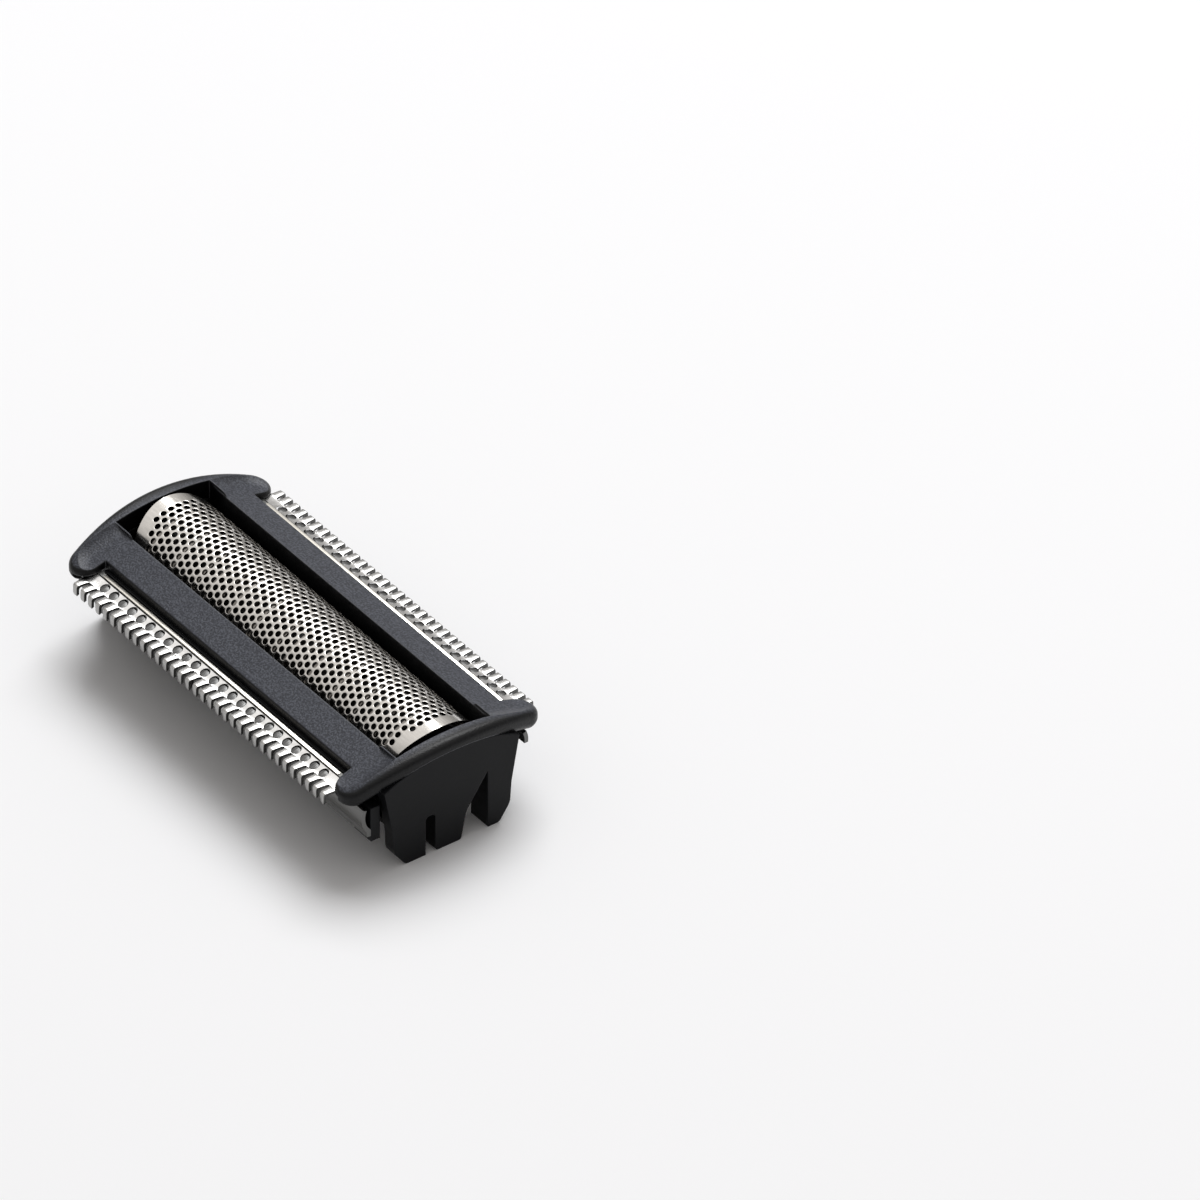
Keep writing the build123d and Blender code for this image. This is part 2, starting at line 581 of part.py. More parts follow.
# Chassis: floor and side walls under the rails, and two end walls with three snap legs each,
# alike after half a turn
end_top_radius = wing_lip_radius - end_wall_top_gap
top_corner_z = lip_centre_z + sqrt(end_top_radius**2 - end_half_width_top**2)
tongue_root_y = narrow_notch_y - narrow_notch_width
low_wall_length = window_length - 2 * side_wall_end_gap
with BuildPart() as chassis:
    with BuildSketch(Plane.YZ.offset(half_window_x)) as end_outline:
        with BuildLine():
            ThreePointArc(
                (-end_half_width_top, top_corner_z),
                (0, lip_centre_z + end_top_radius),
                (end_half_width_top, top_corner_z),
            )
            Polyline(
                (end_half_width_top, top_corner_z),
                (end_half_width_waist, end_waist_z),
                (leg_half_width, leg_shoulder_z),
                (leg_tip_half_width, 0),
                (wide_notch_y, 0),
                (wide_notch_y, wide_notch_z),
                (tongue_hip_y, tongue_hip_z),
                (tongue_tip_y, 0),
                (-tongue_root_y, 0),
                (-tongue_root_y, narrow_notch_z),
                (-narrow_notch_y, narrow_notch_z),
                (-narrow_notch_y, 0),
                (-leg_tip_half_width, 0),
                (-leg_half_width, leg_shoulder_z),
                (-end_half_width_waist, end_waist_z),
                (-end_half_width_top, top_corner_z),
            )
        make_face()
        for corner_y, corner_z, corner_round in (
            (end_half_width_waist, end_waist_z, waist_round),
            (-end_half_width_waist, end_waist_z, waist_round),
            (leg_half_width, leg_shoulder_z, leg_shoulder_round),
            (-leg_half_width, leg_shoulder_z, leg_shoulder_round),
            (leg_tip_half_width, 0, leg_tip_round),
            (-leg_tip_half_width, 0, leg_tip_round),
            (tongue_hip_y, tongue_hip_z, tongue_hip_round),
            (tongue_tip_y, 0, tongue_tip_round),
            (-tongue_root_y, 0, tongue_tip_round),
            (-tongue_root_y, narrow_notch_z, narrow_notch_round),
            (-narrow_notch_y, narrow_notch_z, narrow_notch_round),
        ):
            corner = end_outline.vertices().sort_by_distance((corner_y, corner_z))[0]
            fillet(corner, radius=corner_round)
    extrude(amount=end_wall_outer_x - half_window_x)
    with BuildSketch(Plane.YZ.offset(half_window_x)):
        with Locations((0, wing_crown_z)):
            Rectangle(2 * end_half_width_top, 2 * wing_crown_z)
        with Locations((0, wing_arch_centre_z)):
            Circle(wing_under_radius - end_wall_top_gap, mode=Mode.SUBTRACT)
    extrude(amount=lip_start_x + end_wall_top_gap - half_window_x, mode=Mode.SUBTRACT)
    with BuildSketch(Plane.YZ.offset(end_wall_outer_x - leg_depth)):
        add(end_outline.sketch_local)
        with Locations((0, floor_bottom_z / 2)):
            Rectangle(2 * end_half_width_top, floor_bottom_z, mode=Mode.INTERSECT)
    extrude(amount=leg_depth)
    catch_x = end_wall_outer_x - leg_depth
    leg_side_x = end_wall_outer_x - leg_side_depth
    with BuildSketch():
        with BuildLine():
            Polyline(
                (catch_x, leg_back_start_y),
                (leg_side_x, end_half_width_waist),
                (leg_side_x, end_half_width_top),
                (catch_x, end_half_width_top),
                close=True,
            )
        make_face()
        mirror(about=Plane.XZ)
    extrude(amount=floor_bottom_z, mode=Mode.SUBTRACT)
    with BuildSketch(Plane.XZ):
        with BuildLine():
            Polyline(
                (catch_x, catch_z - catch_height),
                (catch_x - catch_height, catch_z),
                (catch_x, catch_z + catch_height / 2),
                close=True,
            )
        make_face()
    extrude(amount=catch_half_width, both=True)
    rib_x = half_window_x + bracket_overrun - corner_rib_length / 2
    rib_y = (wall_inner_y + wall_outer_y) / 2
    with BuildSketch(Plane.XY.offset(corner_rib_bottom_z)):
        with Locations((rib_x, -rib_y)):
            Rectangle(corner_rib_length, side_wall)
    extrude(amount=side_wall_low_z - corner_rib_bottom_z)
    add(chassis.part.rotate(Axis.Z, 180))
    hub_room = hub_length + 2 * (stroke + run_clearance)
    with BuildSketch(Plane.XY.offset(floor_bottom_z)):
        Rectangle(low_wall_length, 2 * wall_outer_y)
        Rectangle(window_length, 2 * end_half_width_waist)
        Rectangle(hub_room, hub_width + 2 * run_clearance, mode=Mode.SUBTRACT)
    extrude(amount=floor_thickness)
    high_wall_length = comb_length - 2 * side_wall_inset
    for length, top_z in ((high_wall_length, rail_seat_z), (low_wall_length, side_wall_low_z)):
        with BuildSketch(Plane.XY.offset(floor_bottom_z)):
            with Locations((0, rib_y), (0, -rib_y)):
                Rectangle(length, side_wall)
        extrude(amount=top_z - floor_bottom_z)
    with BuildSketch(Plane.XZ):
        with Locations((0, (floor_top_z + gate_top_z) / 2)):
            Rectangle(arm_room, gate_top_z - floor_top_z)
    extrude(amount=wing_span, both=True, mode=Mode.SUBTRACT)
chassis.part.label = "chassis"
export_step(chassis.part, "parts/chassis.step")
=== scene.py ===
import math

import bmesh
import bpy
from mathutils import Matrix, Vector


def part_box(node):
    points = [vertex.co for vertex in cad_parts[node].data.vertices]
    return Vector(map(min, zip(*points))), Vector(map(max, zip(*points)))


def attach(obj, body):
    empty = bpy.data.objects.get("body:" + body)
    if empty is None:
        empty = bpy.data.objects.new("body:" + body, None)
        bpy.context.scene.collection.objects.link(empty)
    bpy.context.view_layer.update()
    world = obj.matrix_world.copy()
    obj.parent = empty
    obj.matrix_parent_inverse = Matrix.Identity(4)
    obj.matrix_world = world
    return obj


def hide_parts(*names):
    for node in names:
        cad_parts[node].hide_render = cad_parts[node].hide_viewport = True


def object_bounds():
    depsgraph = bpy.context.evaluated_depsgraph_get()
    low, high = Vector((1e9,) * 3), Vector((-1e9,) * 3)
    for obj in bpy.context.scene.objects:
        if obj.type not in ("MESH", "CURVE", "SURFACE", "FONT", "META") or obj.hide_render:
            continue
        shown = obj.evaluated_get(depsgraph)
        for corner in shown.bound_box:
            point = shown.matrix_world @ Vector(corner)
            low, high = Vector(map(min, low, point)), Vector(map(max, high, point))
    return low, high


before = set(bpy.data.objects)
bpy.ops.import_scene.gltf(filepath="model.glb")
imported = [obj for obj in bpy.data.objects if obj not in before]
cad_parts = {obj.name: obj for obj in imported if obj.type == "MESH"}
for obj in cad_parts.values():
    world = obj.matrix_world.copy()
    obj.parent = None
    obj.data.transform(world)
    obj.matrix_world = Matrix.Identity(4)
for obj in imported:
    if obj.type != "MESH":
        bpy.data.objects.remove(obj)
cad_low, cad_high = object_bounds()

# Chassis: the lower moulding of black plastic, shot in one piece with its floor and snap legs.
# Upward faces take a fine grain from the tool. Walls get the wall colour, a painted shade, and rounded
# edges are painted lighter, a painted highlight.
MM = 0.001
grain_detail = 3.0
grain_band = (0.44, 0.62)
grain_height = 0.06 * MM
broad_scale = 350.0
broad_detail = 4.0
# Faces that don't face up, and the outer rims of the wings, get the wall colour: a painted shade.
upward_band = (0.70, 0.985)
shaded_rim_band = (cad_high.x - 0.8 * MM, cad_high.x - 1.5 * MM)
# Rounded edges, found by a Bevel node: their normals are rounded, and they are painted lighter as a
# highlight.
rounded_edge_radius = 0.18 * MM
edge_highlight_band = (0.99, 0.80)
rounded_edge_samples = 6
satin_scale = 3500
black = (0.005, 0.0053, 0.0062)


def add_node(tree, kind, values=None, **settings):
    """Adds a shader node to a tree, with its settings and the values of some of its inputs."""
    node = tree.nodes.new("ShaderNode" + kind)
    for setting, value in settings.items():
        setattr(node, setting, value)
    for socket, value in (values or {}).items():
        node.inputs[socket].default_value = value
    return node


def map_range(tree, band):
    """Adds a node that turns a band of values into 0 to 1."""
    return add_node(tree, "MapRange", {"From Min": band[0], "From Max": band[1]})


def link_all(tree, links):
    for source, target in links:
        tree.links.new(source, target)


def surface_group(name, inputs):
    """A node group that puts out a colour, a roughness and a normal, with its two end nodes."""
    outputs = (("Color", "Color"), ("Roughness", "Float"), ("Normal", "Vector"))
    group = bpy.data.node_groups.new(name, "ShaderNodeTree")
    for way, sockets in (("INPUT", inputs), ("OUTPUT", outputs)):
        for label, kind in sockets:
            group.interface.new_socket(label, in_out=way, socket_type="NodeSocket" + kind)
    return group, group.nodes.new("NodeGroupInput"), group.nodes.new("NodeGroupOutput")


def group_material(name, group, values):
    """A material that takes its surface from a node group with its own values, and its shader."""
    material = bpy.data.materials.new(name)
    material.use_nodes = True
    tree = material.node_tree
    shader = tree.nodes["Principled BSDF"]
    surface = add_node(tree, "Group", values, node_tree=group)
    link_all(tree, (
        (surface.outputs["Color"], shader.inputs["Base Color"]),
        (surface.outputs["Roughness"], shader.inputs["Roughness"]),
        (surface.outputs["Normal"], shader.inputs["Normal"]),
    ))
    return material, shader


grain, grain_in, grain_out = surface_group("moulding_grain", (
    ("Grain Scale", "Float"),
    ("Grain Depth", "Float"),
    ("Shaded Wall", "Color"),
    ("Body", "Color"),
    ("Peak", "Color"),
    ("Edge", "Color"),
    ("Rough Low", "Float"),
    ("Rough High", "Float"),
))
grain_place = add_node(grain, "TexCoord")
grain_fine = add_node(grain, "TexNoise", {"Detail": grain_detail})
grain_broad = add_node(grain, "TexNoise", {"Scale": broad_scale, "Detail": broad_detail})
grain_peaks = map_range(grain, grain_band)
grain_tint = add_node(grain, "Mix", data_type="RGBA")
# Faces turned away from up, and the rims at the ends of the head, take the wall colour: a painted shade.
grain_facing = add_node(grain, "SeparateXYZ")
grain_up = map_range(grain, upward_band)
grain_along = add_node(grain, "SeparateXYZ")
grain_end = add_node(grain, "Math", operation="ABSOLUTE")
grain_inner = map_range(grain, shaded_rim_band)
grain_unshaded_mask = add_node(grain, "Math", operation="MULTIPLY")
grain_or_shade = add_node(grain, "Mix", data_type="RGBA")
grain_rough = add_node(grain, "MapRange")
# Rounded edges get the edge colour, a painted highlight where the rounding would catch the light.
grain_round = add_node(grain, "Bevel", {"Radius": rounded_edge_radius}, samples=rounded_edge_samples)
grain_flat = add_node(grain, "NewGeometry")
grain_turn = add_node(grain, "VectorMath", operation="DOT_PRODUCT")
grain_highlight_mask = map_range(grain, edge_highlight_band)
grain_edge_highlight = add_node(grain, "Mix", data_type="RGBA")
grain_bump = add_node(grain, "Bump", {"Distance": grain_height})
link_all(grain, (
    (grain_place.outputs["Object"], grain_fine.inputs["Vector"]),
    (grain_place.outputs["Object"], grain_broad.inputs["Vector"]),
    (grain_in.outputs["Grain Scale"], grain_fine.inputs["Scale"]),
    (grain_fine.outputs["Fac"], grain_peaks.inputs["Value"]),
    (grain_peaks.outputs["Result"], grain_tint.inputs["Factor"]),
    (grain_in.outputs["Body"], grain_tint.inputs["A"]),
    (grain_in.outputs["Peak"], grain_tint.inputs["B"]),
    (grain_place.outputs["Normal"], grain_facing.inputs["Vector"]),
    (grain_facing.outputs["Z"], grain_up.inputs["Value"]),
    (grain_place.outputs["Object"], grain_along.inputs["Vector"]),
    (grain_along.outputs["X"], grain_end.inputs[0]),
    (grain_end.outputs["Value"], grain_inner.inputs["Value"]),
    (grain_up.outputs["Result"], grain_unshaded_mask.inputs[0]),
    (grain_inner.outputs["Result"], grain_unshaded_mask.inputs[1]),
    (grain_unshaded_mask.outputs["Value"], grain_or_shade.inputs["Factor"]),
    (grain_in.outputs["Shaded Wall"], grain_or_shade.inputs["A"]),
    (grain_tint.outputs["Result"], grain_or_shade.inputs["B"]),
    (grain_round.outputs["Normal"], grain_turn.inputs[0]),
    (grain_flat.outputs["Normal"], grain_turn.inputs[1]),
    (grain_turn.outputs["Value"], grain_highlight_mask.inputs["Value"]),
    (grain_highlight_mask.outputs["Result"], grain_edge_highlight.inputs["Factor"]),
    (grain_or_shade.outputs["Result"], grain_edge_highlight.inputs["A"]),
    (grain_in.outputs["Edge"], grain_edge_highlight.inputs["B"]),
    (grain_edge_highlight.outputs["Result"], grain_out.inputs["Color"]),
    (grain_broad.outputs["Fac"], grain_rough.inputs["Value"]),
    (grain_in.outputs["Rough Low"], grain_rough.inputs["To Min"]),
    (grain_in.outputs["Rough High"], grain_rough.inputs["To Max"]),
    (grain_rough.outputs["Result"], grain_out.inputs["Roughness"]),
    (grain_in.outputs["Grain Depth"], grain_bump.inputs["Strength"]),
    (grain_fine.outputs["Fac"], grain_bump.inputs["Height"]),
    (grain_round.outputs["Normal"], grain_bump.inputs["Normal"]),
    (grain_bump.outputs["Normal"], grain_out.inputs["Normal"]),
))


def moulded_plastic(name, shaded_wall, body, peak, edge, rough, scale, depth, specular):
    """Plastic with a grain between two tints on its upward faces. Its walls, and the outer rims of the
    wings, take the wall colour as a painted shade, and its rounded edges take the edge colour as a painted
    highlight.
    """
    material, shader = group_material(name, grain, {
        "Grain Scale": scale,
        "Grain Depth": depth,
        "Shaded Wall": (*shaded_wall, 1),
        "Body": (*body, 1),
        "Peak": (*peak, 1),
        "Edge": (*edge, 1),
        "Rough Low": rough[0],
        "Rough High": rough[1],
    })
    shader.inputs["Specular IOR Level"].default_value = specular
    return material


def dress(node, material):
    """Gives a node of the frame one material, and leaves its mesh alone."""
    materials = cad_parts[node].data.materials
    materials.clear()
    materials.append(material)


dress("chassis", moulded_plastic(
    "black_satin", shaded_wall=black, body=black, peak=(0.008, 0.0084, 0.0098), edge=(0.02, 0.021, 0.024),
    rough=(0.36, 0.48), scale=satin_scale, depth=0.12, specular=0.13))

# Drive bridge: a slider of natural acetal on the chassis floor, with a slot for the handle's pin.
# It slides along the head with everything that cuts.
natural = (0.50, 0.50, 0.48)
# Its edge colour is a painted highlight.
dress("drive_bridge", moulded_plastic(
    "natural_acetal", shaded_wall=natural, body=natural, peak=(0.56, 0.56, 0.54), edge=(0.60, 0.60, 0.58),
    rough=(0.40, 0.50), scale=satin_scale, depth=0.1, specular=0.5))

# Lift springs: two coils of round spring wire that press the cutter up against the foil.
# The wire is drawn, with dull draw marks.
rolled_detail = 2.0
rolled_height = 0.03 * MM
rolled, rolled_in, rolled_out = surface_group("rolled_steel", (
    ("Stretch", "Vector"),
    ("Light", "Color"),
    ("Dark", "Color"),
    ("Rough Low", "Float"),
    ("Rough High", "Float"),
    ("Depth", "Float"),
))
rolled_place = add_node(rolled, "TexCoord")
rolled_stretch = add_node(rolled, "VectorMath", operation="MULTIPLY")
rolled_lines = add_node(rolled, "TexNoise", {"Scale": 1.0, "Detail": rolled_detail})
rolled_tint = add_node(rolled, "Mix", data_type="RGBA")
rolled_rough = add_node(rolled, "MapRange")
rolled_bump = add_node(rolled, "Bump", {"Distance": rolled_height})
link_all(rolled, (
    (rolled_place.outputs["Object"], rolled_stretch.inputs[0]),
    (rolled_in.outputs["Stretch"], rolled_stretch.inputs[1]),
    (rolled_stretch.outputs["Vector"], rolled_lines.inputs["Vector"]),
    (rolled_lines.outputs["Fac"], rolled_tint.inputs["Factor"]),
    (rolled_in.outputs["Dark"], rolled_tint.inputs["A"]),
    (rolled_in.outputs["Light"], rolled_tint.inputs["B"]),
    (rolled_tint.outputs["Result"], rolled_out.inputs["Color"]),
    (rolled_lines.outputs["Fac"], rolled_rough.inputs["Value"]),
    (rolled_in.outputs["Rough Low"], rolled_rough.inputs["To Min"]),
    (rolled_in.outputs["Rough High"], rolled_rough.inputs["To Max"]),
    (rolled_rough.outputs["Result"], rolled_out.inputs["Roughness"]),
    (rolled_in.outputs["Depth"], rolled_bump.inputs["Strength"]),
    (rolled_lines.outputs["Fac"], rolled_bump.inputs["Height"]),
    (rolled_bump.outputs["Normal"], rolled_out.inputs["Normal"]),
))


def steel(name, light, dark, rough, stretch, depth):
    """Bare steel with marks between two tints, stretched the way that it was drawn, rolled or ground."""
    material, shader = group_material(name, rolled, {
        "Stretch": stretch,
        "Light": (*light, 1),
        "Dark": (*dark, 1),
        "Rough Low": rough[0],
        "Rough High": rough[1],
        "Depth": depth,
    })
    shader.inputs["Metallic"].default_value = 1.0
    return material


spring_wire = steel(
    "spring_wire", light=(0.50, 0.50, 0.50), dark=(0.40, 0.40, 0.40),
    rough=(0.30, 0.40), stretch=(3000, 3000, 3000), depth=0.1)
for node in ("lift_spring_left", "lift_spring_right"):
    dress(node, spring_wire)

# Cutter: a dark plastic carrier with a row of thin steel blades, ground to the curve of the foil.
# The blades are pressed into slots of the carrier.
soot = (0.010, 0.010, 0.010)
# Its edge colour is a painted highlight.
dress("cutter_carrier", moulded_plastic(
    "dark_acetal", shaded_wall=soot, body=soot, peak=(0.014, 0.014, 0.014), edge=(0.02, 0.02, 0.02),
    rough=(0.50, 0.62), scale=satin_scale, depth=0.1, specular=0.25))
# The blade steel is painted much darker than bare steel: a painted shade under the foil, so that its holes
# read dark.
shaded_cutter_strip = steel(
    "shaded_cutter_strip", light=(0.30, 0.285, 0.265), dark=(0.14, 0.13, 0.12),
    rough=(0.30, 0.45), stretch=(900, 6000, 6000), depth=0.2)
for node in sorted(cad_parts):
    if node.startswith("cutter_blade"):
        dress(node, shaded_cutter_strip)

# Comb brackets: bowed skirts of dull grey rolled sheet below the combs, clipped to the chassis wall.
# Only their ends show.
bracket_sheet = steel(
    "bracket_sheet", light=(0.19, 0.19, 0.185), dark=(0.13, 0.13, 0.127),
    rough=(0.35, 0.50), stretch=(500, 7000, 7000), depth=0.15)
for node in ("comb_bracket_front", "comb_bracket_rear"):
    dress(node, bracket_sheet)

# Trimmer blades: hardened strip with a row of leaf-shaped ground teeth, seen in the windows of a comb.
# A tab at the middle reaches down to the bridge, which slides the blade under the comb.
window_count = 25
window_pitch = 1.39
root_y = 9.25
root_z = 8.88
ramp_length = 0.95
ramp_drop = 0.30
leaf_top = -0.065
leaf_outline = ((9.49, 0.20), (9.66, 0.41), (9.86, 0.47), (10.08, 0.42), (10.22, 0.30))
leaf_bevel = 0.03
blade_bottom = -0.70
blade_bar_top = -0.40
blade_bar_y = (9.08, 9.92)
blade_end = 0.41
blade_tab_half = 2.5
blade_tab_y = (8.58, 8.88)
blade_tab_z = (5.15, 8.50)
bevel_limit = math.radians(40)
smooth_limit = math.radians(28)


def comb_top(y):
    """The height of a comb's upper face: a ramp out from the hem, then level."""
    return root_z - ramp_drop * min(max((y - root_y) / ramp_length, 0), 1)


def ring(mesh, corners):
    """A closed loop of edges through a few corners."""
    verts = [mesh.verts.new(corner) for corner in corners]
    return [mesh.edges.new((verts[k - 1], verts[k])) for k in range(len(verts))]


def loft(mesh, rings):
    """A closed bar through a row of rings: the rings are bridged and the two ends are capped."""
    loops = [ring(mesh, corners) for corners in rings]
    faces = []
    for start, end in zip(loops, loops[1:]):
        faces += bmesh.ops.bridge_loops(mesh, edges=start + end)["faces"]
    faces += bmesh.ops.contextual_create(mesh, geom=loops[0])["faces"]
    faces += bmesh.ops.contextual_create(mesh, geom=loops[-1])["faces"]
    return faces


def cross_ring(half, skin, under):
    """The corners of a section across X, from a point of the skin and one of the underside."""
    return [(-half, *skin), (half, *skin), (half, *under), (-half, *under)]


def bar(mesh, x_ends, section):
    """A straight bar along X with the given section."""
    return loft(mesh, [[(x, y, z) for y, z in section] for x in x_ends])


def box_section(y_ends, z_ends):
    """The section of a square bar."""
    (y_in, y_out), (z_low, z_high) = y_ends, z_ends
    return [(y_in, z_low), (y_out, z_low), (y_out, z_high), (y_in, z_high)]


def round_edges(mesh, faces, offset):
    """Rounds the sharp edges of some faces."""
    edges = {edge for face in faces for edge in face.edges if edge.calc_face_angle(0) > bevel_limit}
    bmesh.ops.bevel(
        mesh, geom=list(edges), offset=offset, offset_type="OFFSET", segments=2, profile=0.5,
        affect="EDGES", clamp_overlap=True, material=-1)


def verts_in(items):
    return [item for item in items if isinstance(item, bmesh.types.BMVert)]


def all_of(mesh):
    return mesh.verts[:] + mesh.edges[:] + mesh.faces[:]


def row_places(count, pitch):
    """The places of a row of like things, with the middle of the row at 0."""
    return [(k - (count - 1) / 2) * pitch for k in range(count)]


def repeat_along_x(mesh, places):
    """Moves all that is in the mesh to the first place along X, and copies it to the others."""
    pattern = all_of(mesh)
    for x in places[1:]:
        copy = bmesh.ops.duplicate(mesh, geom=pattern)["geom"]
        bmesh.ops.translate(mesh, verts=verts_in(copy), vec=(x, 0, 0))
    bmesh.ops.translate(mesh, verts=verts_in(pattern), vec=(places[0], 0, 0))


def to_side(mesh, side):
    """Turns a mesh in millimetres to its side of the head, and scales it to metres."""
    if side < 0:
        half_turn = Matrix.Rotation(math.pi, 3, "Z")
        bmesh.ops.rotate(mesh, verts=mesh.verts[:], cent=(0, 0, 0), matrix=half_turn)
    bmesh.ops.scale(mesh, verts=mesh.verts[:], vec=(MM, MM, MM))


def finished_piece(name, mesh, materials, sharp_angle):
    """Makes an object of a closed mesh, smooth where its faces meet below an angle."""
    bmesh.ops.recalc_face_normals(mesh, faces=mesh.faces[:])
    for face in mesh.faces:
        face.smooth = True
    data = bpy.data.meshes.new(name)
    mesh.to_mesh(data)
    mesh.free()
    data.set_sharp_from_angle(angle=sharp_angle)
    for material in materials:
        data.materials.append(material)
    piece = bpy.data.objects.new(name, data)
    bpy.context.scene.collection.objects.link(piece)
    return piece


window_places = row_places(window_count, window_pitch)
blade_half = window_places[-1] + blade_end
blade_bar_z = (root_z + blade_bottom, root_z + blade_bar_top)
blade_strip = steel(
    "blade_strip", light=(0.19, 0.19, 0.188), dark=(0.035, 0.035, 0.035),
    rough=(0.24, 0.45), stretch=(6500, 1100, 1100), depth=0.6)
for node, side in (("trimmer_blade_front", -1), ("trimmer_blade_rear", 1)):
    blade = bmesh.new()
    leaf = loft(blade, [
        cross_ring(half, (y, comb_top(y) + leaf_top), (y, comb_top(y) + blade_bottom))
        for y, half in leaf_outline])
    round_edges(blade, leaf, leaf_bevel)
    repeat_along_x(blade, window_places)
    bar(blade, (-blade_half, blade_half), box_section(blade_bar_y, blade_bar_z))
    bar(blade, (-blade_tab_half, blade_tab_half), box_section(blade_tab_y, blade_tab_z))
    to_side(blade, side)
    ground = finished_piece(node + "_ground", blade, [blade_strip], smooth_limit)
    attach(ground, "drive")
    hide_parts(node)

# Combs: bright spring steel, one folded sheet each, with a bonded hem along the inner edge.
# The root is pierced with leaf-shaped windows, and the teeth are hooked down and tumbled smooth.
tooth_count = 34
tooth_pitch = 1.142
tooth_skin = (
    (10.28, 8.585), (10.60, 8.585), (11.45, 8.585), (11.58, 8.46),
    (11.62, 8.26), (11.62, 7.62), (11.54, 7.34))
tooth_under = (
    (10.28, 8.30), (10.60, 8.30), (11.02, 8.30), (11.22, 8.20),
    (11.30, 8.08), (11.30, 7.66), (11.26, 7.45))
tooth_halves = (0.53, 0.39, 0.32, 0.30, 0.29, 0.28, 0.22)
tooth_bevel = 0.05
# How far a face must turn sideways or outwards to get a painted shade tone.
shade_facing = 0.8
window_half_x = 0.49
window_half_y = 0.53
window_point = 1.05
plate_y = (9.28, 10.36)
plate_sheet = 0.035
plate_weld = 0.01
cell_sides = 16
plain_end_y = (9.27, root_y + ramp_length, plate_y[1])
root = ((8.72, 8.955), (9.15, 8.89), (9.15, 8.765), (9.34, 8.765), (9.34, 8.60), (8.93, 8.55))
root_half = 20.2
flange = ((8.50, 7.25), (8.50, 8.48), (8.72, 8.955), (8.93, 8.55), (8.85, 8.42), (8.85, 7.25))
flange_half = 18.5
tab_room = 3.8
hem_y = (8.75, 9.16)
hem_height = 0.15
hem_half = 17.9


def cell_border(step):
    """Where the border of a pierced cell lies for one side of its hole, from -1 to 1."""
    away = min(step % cell_sides, -step % cell_sides)
    return max(-1.0, min(1.0, (cell_sides / 4 - away) / 2))


def pierced_cell(mesh, shapes, half_x, half_y):
    """A flat rectangular cell round a hole, through one ring of points for each shape, to its border."""
    loop = bmesh.ops.create_circle(mesh, segments=cell_sides, radius=1.0)["verts"]
    edges = list({edge for vert in loop for edge in vert.link_edges})
    rings = [loop]
    for _ in shapes:
        grown = bmesh.ops.extrude_edge_only(mesh, edges=edges)["geom"]
        rings.append(verts_in(grown))
        edges = [item for item in grown if isinstance(item, bmesh.types.BMEdge)]
        edges = [edge for edge in edges if all(vert in rings[-1] for vert in edge.verts)]
    for verts, shape in zip(rings, (*shapes, None)):
        for vert in verts:
            angle = math.atan2(vert.co.y, vert.co.x)
            step = round(angle * cell_sides / (2 * math.pi))
            if shape:
                vert.co = shape(angle)
            else:
                vert.co = (cell_border(step) * half_x, cell_border(step - cell_sides // 4) * half_y, 0)
    return [vert for verts in rings for vert in verts]


def leaf_window(angle):
    """A point on the edge of a window, which draws in to its points a little more than an oval."""
    across, along = math.cos(angle), math.sin(angle)
    x = math.copysign(window_half_x * abs(across) ** window_point, across)
    y = math.copysign(window_half_y * abs(along) ** window_point, along)
    return Vector((x, y, 0))


def add_mesh(mesh, other):
    """Adds all that is in another mesh, and frees that one."""
    carried = bpy.data.meshes.new("carried")
    other.to_mesh(carried)
    other.free()
    mesh.from_mesh(carried)
    bpy.data.meshes.remove(carried)


# The comb is one steel, painted in five tones for how light falls on each kind of face: painted light and
# shade.
comb_bright = steel(
    "comb_bright", light=(0.50, 0.495, 0.487), dark=(0.27, 0.267, 0.262),
    rough=(0.18, 0.32), stretch=(4500, 1200, 1200), depth=0.25)
# Tooth side walls and the root bar are painted dark grey: a painted shade in the slots and in the groove
# under the rail.
comb_slot_shade = steel(
    "comb_slot_shade", light=(0.16, 0.16, 0.155), dark=(0.08, 0.08, 0.078),
    rough=(0.35, 0.50), stretch=(1500, 1500, 6000), depth=0.2)
# The outer faces of the hooks are painted a darker grey than the tops: a painted shade.
comb_hook_shade = steel(
    "comb_hook_shade", light=(0.46, 0.455, 0.445), dark=(0.28, 0.277, 0.27),
    rough=(0.22, 0.38), stretch=(6000, 1500, 1500), depth=0.3)
# The hem is painted nearly white, brighter than the rest of the sheet: a painted highlight on its pale
# cream steel.
hem_bead_highlight = steel(
    "hem_bead_highlight", light=(0.95, 0.92, 0.85), dark=(0.88, 0.85, 0.78),
    rough=(0.20, 0.30), stretch=(900, 3000, 3000), depth=0.05)
comb_plate = steel(
    "comb_plate", light=(0.72, 0.717, 0.71), dark=(0.54, 0.537, 0.53),
    rough=(0.16, 0.28), stretch=(2500, 2500, 2500), depth=0.10)
comb_light_and_shade_tones = [comb_bright, comb_slot_shade, comb_hook_shade, hem_bead_highlight, comb_plate]


def finish_faces(faces, material):
    """Gives some faces of a comb one of its tones, painted lighter or darker for the light and shade on
    them. The others keep the tone of the tooth tops.
    """
    index = comb_light_and_shade_tones.index(material)
    for face in faces:
        face.material_index = index


